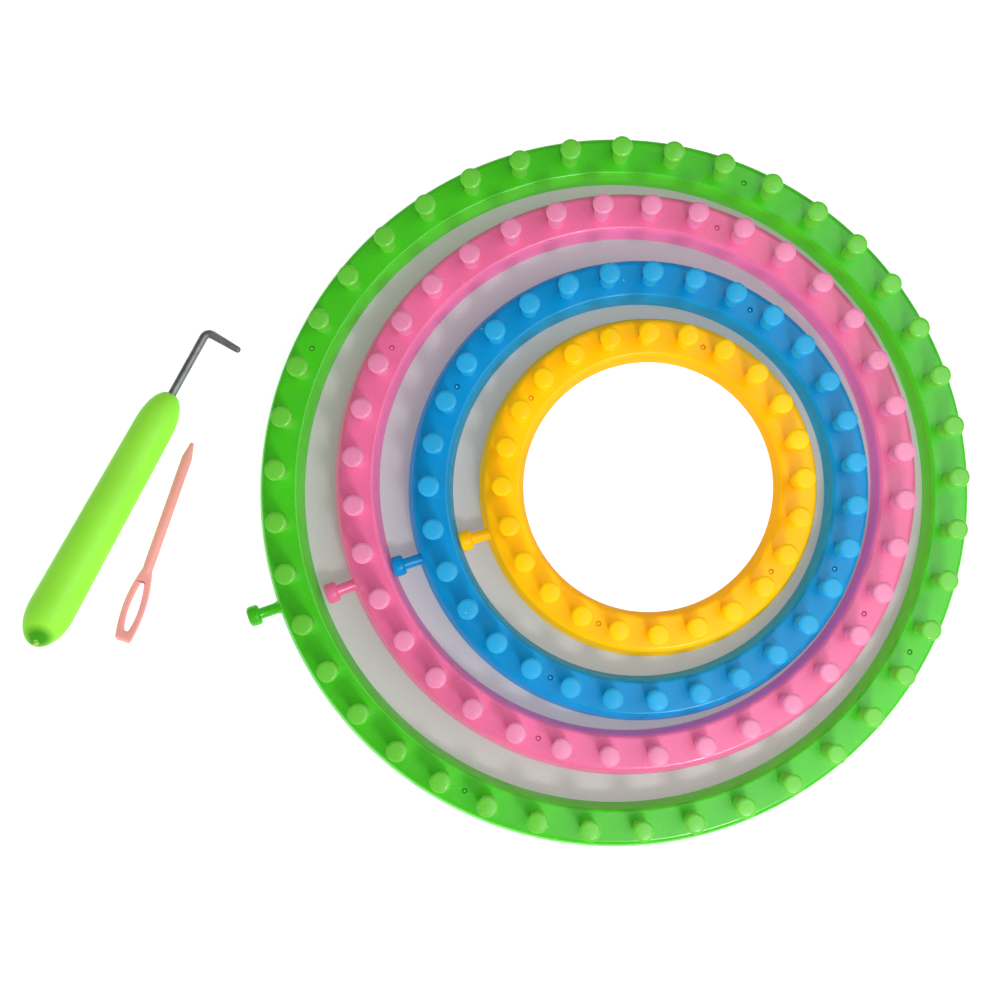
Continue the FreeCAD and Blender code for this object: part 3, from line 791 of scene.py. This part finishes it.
def steel():
    """Drawn wire: fine lines along it, slightly uneven gloss."""
    material = bpy.data.materials.new("drawn steel")
    material.use_nodes = True
    tree = material.node_tree
    shader = tree.nodes["Principled BSDF"]
    add, scaled_noise, math_step, stretch, mix = node_tools(tree)
    place = add("ShaderNodeTexCoord").outputs["Object"]
    lines = add("ShaderNodeMapping")
    lines.inputs["Rotation"].default_value = (0, 0, -HANDLE_TURN)
    lines.inputs["Scale"].default_value = (120, 4000, 4000)
    tree.links.new(place, lines.inputs["Vector"])
    drawn = scaled_noise(1, 3, lines.outputs["Vector"]).outputs["Fac"]
    smears = scaled_noise(300, 3, place).outputs["Fac"]
    tree.links.new(
        mix(stretch(smears, 0.35, 0.65, 0, 1), (0.24, 0.242, 0.26, 1), (0.33, 0.326, 0.335, 1)),
        shader.inputs["Base Color"],
    )
    tree.links.new(stretch(drawn, 0.3, 0.7, 0.5, 0.64), shader.inputs["Roughness"])
    bump = add("ShaderNodeBump")
    bump.inputs["Distance"].default_value = 0.03 * MM
    tree.links.new(drawn, bump.inputs["Height"])
    tree.links.new(bump.outputs["Normal"], shader.inputs["Normal"])
    shader.inputs["Metallic"].default_value = 1.0
    return material


bend_run = BEND_RADIUS * math.tan(BEND_ANGLE / 2)
shank = turned(
    "hook_shank_wire", HANDLE_NOSE, handle_forward,
    [(-SHANK_DEPTH, WIRE_RADIUS), (SHANK_REACH - bend_run, WIRE_RADIUS)], WIRE_SIDES,
)
bend_start = HANDLE_NOSE + handle_forward * (SHANK_REACH - bend_run)
bpy.ops.object.mode_set(mode="EDIT")
pick("faces", lambda middle, normal: (middle - bend_start).length < CLOSE)
bpy.ops.mesh.spin(
    steps=BEND_STEPS, angle=BEND_ANGLE, center=bend_start - handle_left * BEND_RADIUS,
    axis=handle_up, use_auto_merge=False,
)
arm_direction = handle_forward * math.cos(BEND_ANGLE) - handle_left * math.sin(BEND_ANGLE)
corner = HANDLE_NOSE + handle_forward * SHANK_REACH
tip_start = ARM_LENGTH - TIP_RADIUS
arm_profile = [(bend_run, WIRE_RADIUS), (tip_start, TIP_RADIUS)] + [
    (
        tip_start + TIP_RADIUS * math.sin(math.pi / 2 * step / TIP_STEPS),
        TIP_RADIUS * math.cos(math.pi / 2 * step / TIP_STEPS),
    )
    for step in range(1, TIP_STEPS)
]
draw_out(corner, arm_direction, arm_profile)
smooth(shank, 40)
belongs(shank, "hook_tool", "hook_shank", steel())

# The yarn needle. It is one salmon-pink moulding: a flat blade round a long pointed eye, and a
# round shaft with a blunt tapered tip.

NEEDLE_BUTT = Vector((-153.2, -62.5, 2.15)) * MM
NEEDLE_TURN = math.radians(71.5)
NEEDLE_LENGTH = 85.4 * MM
NEEDLE_RADIUS = 2.15 * MM
NEEDLE_TIP_RADIUS = 0.95 * MM
NEEDLE_TAPER = 7.5 * MM
BLADE_THICKNESS = 3 * MM
BLADE_BUTT_HALF = 2.9 * MM
BLADE_REAR = 1.6 * MM
BLADE_REAR_HALF = 3.3 * MM
BLADE_MIDDLE = 14.3 * MM
BLADE_HALF = 4.5 * MM
BLADE_FRONT = 27 * MM
BLADE_FRONT_HALF = 2.95 * MM
BLADE_END = 31.5 * MM
BLADE_END_HALF = 1.8 * MM
BLADE_STEPS = 16
EYE_REAR = 4.6 * MM
EYE_MIDDLE = 13.6 * MM
EYE_FRONT = 25.3 * MM
EYE_HALF = 2.1 * MM
EYE_REAR_RADIUS = 1.15 * MM
EYE_FRONT_RADIUS = 0.9 * MM
RIM = 0.6 * MM
BUTT_SLOPE = 1.6 * MM
PIT_PLACE = 29.3 * MM
PIT_SIZE = Vector((2.0, 0.9, 0.7)) * MM
SALMON = (0.90, 0.355, 0.33)


def bow(distance, middle, most, end, end_half):
    """Half the width at a distance on a bow that is widest in its middle."""
    return most - (most - end_half) * ((distance - middle) / (end - middle)) ** 2


def blade_outline():
    """Distance from the butt and half width: a straight corner, a long bow and a shoulder."""
    corners = [(0, BLADE_BUTT_HALF), (BLADE_REAR, BLADE_REAR_HALF)]
    for step in range(1, BLADE_STEPS + 1):
        place = BLADE_REAR + (BLADE_FRONT - BLADE_REAR) * step / BLADE_STEPS
        end = (BLADE_FRONT, BLADE_FRONT_HALF)
        if place < BLADE_MIDDLE:
            end = (BLADE_REAR, BLADE_REAR_HALF)
        corners.append((place, bow(place, BLADE_MIDDLE, BLADE_HALF, *end)))
    return corners + [(BLADE_END, BLADE_END_HALF)]


def eye_outline():
    """The eye: a long bow between two round ends, the front one tighter."""
    turns = [math.radians(angle) for angle in (20, 40, 60, 78)]
    rear = [
        (
            EYE_REAR + EYE_REAR_RADIUS * (1 - math.cos(turn)),
            EYE_REAR_RADIUS * math.sin(turn),
        )
        for turn in turns
    ]
    front = [
        (
            EYE_FRONT - EYE_FRONT_RADIUS * (1 - math.cos(turn)),
            EYE_FRONT_RADIUS * math.sin(turn),
        )
        for turn in reversed(turns)
    ]
    sides = []
    for step in range(1, BLADE_STEPS):
        place = rear[-1][0] + (front[0][0] - rear[-1][0]) * step / BLADE_STEPS
        end = rear[-1] if place < EYE_MIDDLE else front[0]
        sides.append((place, bow(place, EYE_MIDDLE, EYE_HALF, *end)))
    return rear + sides + front


def flat_piece(name, outline, thickness):
    """A strip drawn along +X to an outline, the same on both sides, and given its thickness."""
    bpy.ops.object.select_all(action="DESELECT")
    bpy.ops.mesh.primitive_plane_add(size=1)
    piece = bpy.context.object
    piece.name = name
    (start, first_half), (second, second_half) = outline[:2]
    bpy.ops.object.mode_set(mode="EDIT")
    bpy.ops.transform.resize(value=(second - start, 2 * first_half, 1), center_override=(0, 0, 0))
    shift(x=(start + second) / 2)
    pick("verts", lambda point: abs(point.x - second) < CLOSE)
    bpy.ops.transform.resize(value=(1, second_half / first_half, 1), center_override=(second, 0, 0))
    for (before, old_half), (place, half) in zip(outline[1:], outline[2:]):
        bpy.ops.mesh.extrude_edges_move(
            TRANSFORM_OT_translate={"value": (place - before, 0, 0)}
        )
        bpy.ops.transform.resize(value=(1, half / old_half, 1), center_override=(place, 0, 0))
    bpy.ops.mesh.select_all(action="SELECT")
    bpy.ops.mesh.extrude_region_move(TRANSFORM_OT_translate={"value": (0, 0, thickness)})
    bpy.ops.mesh.select_all(action="SELECT")
    shift(z=-thickness / 2)
    bpy.ops.mesh.normals_make_consistent(inside=False)
    bpy.ops.object.mode_set(mode="OBJECT")
    return piece


def needle_blade():
    """The blade with its sloping butt, the eye cut through it and its edges rounded."""
    blade = flat_piece("yarn_needle_moulding", blade_outline(), BLADE_THICKNESS)
    alone(blade)
    bpy.ops.object.mode_set(mode="EDIT")
    pick("verts", lambda point: point.x < CLOSE and point.z > 0)
    shift(x=BUTT_SLOPE)
    bpy.ops.object.mode_set(mode="OBJECT")
    carve(blade, flat_piece("eye", eye_outline(), 3 * BLADE_THICKNESS))
    soften(blade, RIM, 4, 40)
    return blade


blade = needle_blade()
tip = NEEDLE_LENGTH - NEEDLE_TIP_RADIUS
# from inside the blade, the shoulder, the round shaft and the tip
shaft = turned("needle_shaft", Vector(), Vector((1, 0, 0)), [
    (BLADE_FRONT - 1 * MM, BLADE_THICKNESS / 2 - 0.7 * MM),
    (BLADE_FRONT, BLADE_THICKNESS / 2 - 0.3 * MM),
    (BLADE_END - 1.5 * MM, NEEDLE_RADIUS - 0.15 * MM),
    (BLADE_END + 1 * MM, NEEDLE_RADIUS),
    (NEEDLE_LENGTH - NEEDLE_TAPER, NEEDLE_RADIUS),
    (NEEDLE_LENGTH - NEEDLE_TAPER * 0.85, NEEDLE_RADIUS - 0.08 * MM),
    (tip, NEEDLE_TIP_RADIUS),
    (tip + 0.7 * NEEDLE_TIP_RADIUS, 0.85 * NEEDLE_TIP_RADIUS),
    (NEEDLE_LENGTH, 0.5 * NEEDLE_TIP_RADIUS),
], WIRE_SIDES)
carve(blade, shaft, "UNION")
bpy.ops.object.select_all(action="DESELECT")
bpy.ops.mesh.primitive_uv_sphere_add(segments=24, ring_count=12, radius=0.5)
pit = bpy.context.object
pit.scale = PIT_SIZE
pit.location = (PIT_PLACE, 0, 0.8 * NEEDLE_RADIUS)
bpy.ops.object.transform_apply()
carve(blade, pit)
blade.location = NEEDLE_BUTT
blade.rotation_euler = (0, 0, NEEDLE_TURN)
alone(blade)
bpy.ops.object.transform_apply()
smooth(blade, 35)
belongs(
    blade, "needle", "yarn_needle",
    plastic("salmon needle plastic", SALMON, dust=0.01, roughness=0.35, scuffs=0.05),
)

# The table: a white sheet, the grey cloth that shows between the looms, and the white inside of the
# smallest loom. The glow is seen by the camera and in reflections, and lights nothing.

WHITE_SHEET = 30.0
CLOTH_RADIUS = 136 * MM
HOLE_RADIUS = 60 * MM
CLOTH_DROP = 0.2 * MM
SHEET_DROP = 0.4 * MM
SHEET_GLOW = 0.72
PATCH_GLOW = 0.9
CLOTH_GLOW = 0.12


def cover(name, radius, centre, drop, albedo, grain, glow):
    """A matt round sheet, so far below the looms."""
    material = bpy.data.materials.new(name)
    material.use_nodes = True
    tree = material.node_tree
    tree.nodes.clear()
    add, scaled_noise, math_step, stretch, mix = node_tools(tree)
    place = add("ShaderNodeTexCoord").outputs["Object"]
    weave = stretch(scaled_noise(1500, 2, place).outputs["Fac"], 0.3, 0.7, 1 - grain, 1 + grain)
    matt = add("ShaderNodeBsdfDiffuse")
    tree.links.new(mix(1.0, (albedo, albedo, albedo, 1), weave, "MULTIPLY"), matt.inputs["Color"])
    rays = add("ShaderNodeLightPath")
    seen = math_step(
        "MAXIMUM", rays.outputs["Is Camera Ray"],
        math_step("MAXIMUM", rays.outputs["Is Glossy Ray"], rays.outputs["Is Transmission Ray"]),
    )
    shine = add("ShaderNodeEmission")
    tree.links.new(math_step("MULTIPLY", seen, glow), shine.inputs["Strength"])
    both = add("ShaderNodeAddShader")
    tree.links.new(matt.outputs["BSDF"], both.inputs[0])
    tree.links.new(shine.outputs["Emission"], both.inputs[1])
    result = add("ShaderNodeOutputMaterial")
    tree.links.new(both.outputs["Shader"], result.inputs["Surface"])

    bpy.ops.object.select_all(action="DESELECT")
    bpy.ops.mesh.primitive_circle_add(
        vertices=128, radius=radius, fill_type="NGON", location=(centre.x, centre.y, -drop)
    )
    piece = bpy.context.object
    piece.name = name
    piece.data.materials.append(material)


cover(
    "white_sheet", WHITE_SHEET, Vector(), SHEET_DROP,
    albedo=0.8, grain=0.0, glow=SHEET_GLOW,
)
cover(
    "grey_cloth", CLOTH_RADIUS, loom_place("green")[0], CLOTH_DROP,
    albedo=0.4, grain=0.08, glow=CLOTH_GLOW,
)
cover(
    "white_patch", HOLE_RADIUS, loom_place("yellow")[0], CLOTH_DROP / 2,
    albedo=0.4, grain=0.0, glow=PATCH_GLOW,
)

# The light of a small photographer's tent: a broad panel above and to the right, a small lamp in
# front, and low light from all sides, which the tent's walls throw on the looms. The low lamps
# cast no shadow, because the real walls glow all over.

LAMP_AIM = Vector((0.05, 0, 0))
TENT_LAMPS = 6
TENT_HEIGHT = math.radians(12)
TENT_POWER = 0.50
TENT_LEAN = 0.85
TENT_BRIGHTEST = math.radians(225)
TENT_WIDTH = math.radians(30)
ROOM_GLOW = 0.17


def soft_lamp(name, place, size, power):
    bpy.ops.object.light_add(type="AREA", location=place)
    lamp = bpy.context.object
    lamp.name = name
    lamp.data.shape = "SQUARE"
    lamp.data.size = size
    lamp.data.energy = power
    lamp.rotation_euler = (LAMP_AIM - Vector(place)).to_track_quat("-Z", "Y").to_euler()


def tent_lamp(turn):
    direction = Vector((
        math.cos(turn) * math.cos(TENT_HEIGHT),
        math.sin(turn) * math.cos(TENT_HEIGHT),
        math.sin(TENT_HEIGHT),
    ))
    bpy.ops.object.light_add(type="SUN", location=direction)
    lamp = bpy.context.object
    lamp.data.energy = TENT_POWER * (1 + TENT_LEAN * math.cos(turn - TENT_BRIGHTEST))
    lamp.data.angle = TENT_WIDTH
    lamp.data.use_shadow = False
    lamp.visible_glossy = False
    lamp.rotation_euler = direction.to_track_quat("Z", "Y").to_euler()


soft_lamp("panel", (0.42, -0.10, 0.68), size=0.80, power=4.3)
soft_lamp("front", (0.20, -0.42, 0.66), size=0.12, power=2.1)
for number in range(TENT_LAMPS):
    tent_lamp(math.tau * number / TENT_LAMPS)

world = bpy.data.worlds.new("pale room")
bpy.context.scene.world = world
world.use_nodes = True
room = world.node_tree.nodes["Background"]
room.inputs["Color"].default_value = (0.8, 0.8, 0.8, 1)
room.inputs["Strength"].default_value = ROOM_GLOW
bpy.context.scene.view_settings.view_transform = "Standard"

# The camera stands almost straight above the looms, at the photograph's angle, which was found from
# the places of the peg heads. It is shifted only as far as the framing needs.

CAMERA_PLACE = Vector((6.79, -44.46, 819.46)) * MM
CAMERA_TILT = (2.808, -2.362, 0.240)
FOCAL_PIXELS = 2000
FRAME_PIXELS = 1002
SENSOR = 36
SIDEWAYS_SHIFT = -0.1

bpy.ops.object.camera_add(
    location=CAMERA_PLACE, rotation=[math.radians(angle) for angle in CAMERA_TILT]
)
camera = bpy.context.object
camera.data.sensor_width = SENSOR
camera.data.lens = SENSOR * FOCAL_PIXELS / FRAME_PIXELS
camera.data.shift_x = SIDEWAYS_SHIFT
camera.data.clip_start = 0.01
bpy.context.scene.camera = camera
